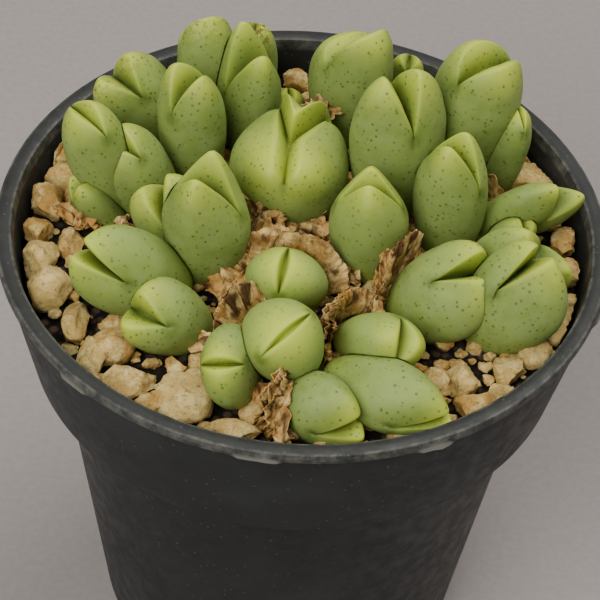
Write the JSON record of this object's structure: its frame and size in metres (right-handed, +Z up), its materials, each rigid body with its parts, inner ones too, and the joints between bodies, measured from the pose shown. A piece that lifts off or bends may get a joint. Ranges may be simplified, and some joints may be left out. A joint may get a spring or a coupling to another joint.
{
  "type": "potted conophytum",
  "caption": "Clump of a stemless succulent with fleshy cleft bodies, in a round charcoal nursery pot dressed with pale pumice stones.",
  "frame": {"origin": "centre of the underside of the pot", "axes": "+Z up along the pot's axis; the picture looks along +Y from the front, with +X to its right"},
  "size_m": [0.105, 0.105, 0.1152],
  "materials": {
    "leaf": "waxy grey-green leaf skin with darker dots and yellow-green lobe edges",
    "dry_skin": "papery, crumpled dead leaf skin",
    "pumice": "rough porous pale stone",
    "potting_mix": "dark gritty potting mix",
    "root_wood": "fine woody bark",
    "pot_plastic": "charcoal moulded polypropylene with dust and light scuffs"
  },
  "bodies": {
    "root": {"head_01": "leaf", "head_02": "leaf", "head_03": "leaf", "head_04": "leaf", "head_05": "leaf", "head_06": "leaf", "head_07": "leaf", "head_08": "leaf", "head_09": "leaf", "head_10": "leaf", "head_11": "leaf", "head_12": "leaf", "head_13": "leaf", "head_14": "leaf", "head_15": "leaf", "head_16": "leaf", "head_17": "leaf", "head_18": "leaf", "head_19": "leaf", "head_20": "leaf", "head_21": "leaf", "head_22": "leaf", "head_23": "leaf", "head_24": "leaf", "head_25": "leaf", "head_26": "leaf", "head_27": "leaf", "head_28": "leaf", "head_29": "leaf", "head_30": "leaf", "head_31": "leaf", "head_32": "leaf", "sheath_02": "dry_skin", "sheath_04": "dry_skin", "sheath_05": "dry_skin", "sheath_06": "dry_skin", "sheath_08": "dry_skin", "sheath_09": "dry_skin", "sheath_11": "dry_skin", "sheath_12": "dry_skin", "sheath_13": "dry_skin", "sheath_14": "dry_skin", "sheath_18": "dry_skin", "sheath_29": "dry_skin", "rootstock": "root_wood", "gravel": "pumice", "soil": "potting_mix", "pot": "pot_plastic"}
  },
  "joints": []
}
